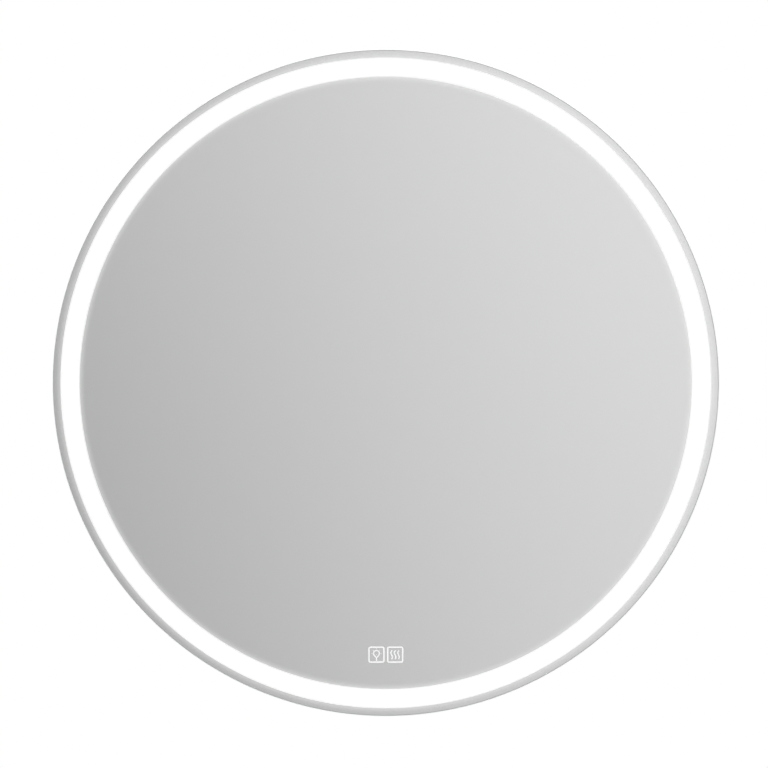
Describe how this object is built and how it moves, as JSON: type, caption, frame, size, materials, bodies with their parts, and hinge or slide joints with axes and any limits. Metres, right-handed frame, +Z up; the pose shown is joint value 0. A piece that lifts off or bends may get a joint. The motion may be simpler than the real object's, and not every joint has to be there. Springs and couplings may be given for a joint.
{
  "type": "lighted bathroom mirror",
  "caption": "Round frameless bathroom mirror with an edge-lit frosted ring and touch keys, which hooks on wall rails and lifts off them.",
  "frame": {"origin": "on the wall surface, at the centre of the disc, which is the centre of the four wall screws", "axes": "+Z up, +Y into the wall, the mirror faces -Y, +X to the right of someone who looks into it"},
  "size_m": [0.7999, 0.04, 0.8],
  "materials": {
    "clear_glass": "polished float glass",
    "silver_coat": "silvered, painted and filmed at the back",
    "opal_acrylic": "opal, lit from behind",
    "satin_aluminium": "satin anodised",
    "white_film": "white light strip",
    "phosphor": "light emitting chips",
    "coated_steel": "zinc coated sheet steel",
    "plated_steel": "zinc plated",
    "black_rubber": "soft",
    "plated_sheet": "zinc plated",
    "clear_film": "polyester film",
    "foil_track": "etched foil",
    "black_moulding": "moulded",
    "grey_tape": "adhesive foam",
    "conductive_foam": "conductive foam",
    "green_board": "solder mask",
    "white_moulding": "moulded",
    "tinned_brass": "tinned",
    "green_lead": "insulation",
    "white_lead": "insulation"
  },
  "bodies": {
    "wall_rails": {"wall_rail_upper": "plated_sheet", "wall_rail_lower": "plated_sheet"},
    "mirror": {"mirror_glass": "clear_glass", "silvering": "silver_coat", "diffuser_ring": "opal_acrylic", "frame_ring": "satin_aluminium", "led_strip": "white_film", "led_chips": "phosphor", "back_plate": "coated_steel", "back_screws": "plated_steel", "wall_bumpers": "black_rubber", "cleat_upper": "plated_sheet", "cleat_lower": "plated_sheet", "heater_pad": "clear_film", "heater_track": "foil_track", "heater_tab": "black_moulding", "touch_tape": "grey_tape", "touch_pads": "conductive_foam", "touch_board": "green_board", "touch_housing": "white_moulding", "driver_tray": "white_moulding", "driver_cover": "white_moulding", "driver_board": "green_board", "terminal_base": "black_moulding", "terminal_cover": "black_moulding", "terminal_block": "white_moulding", "earth_blade": "tinned_brass", "earth_lead": "green_lead", "mains_lead": "white_lead", "supply_lead": "white_lead", "strip_lead": "white_lead", "heater_lead": "white_lead", "lead_clips": "white_moulding"}
  },
  "joints": [
    {"name": "lift_off", "type": "slide", "parent": "wall_rails", "child": "mirror", "axis": [0, 0, 1], "range_m": [0, 0.014]}
  ]
}
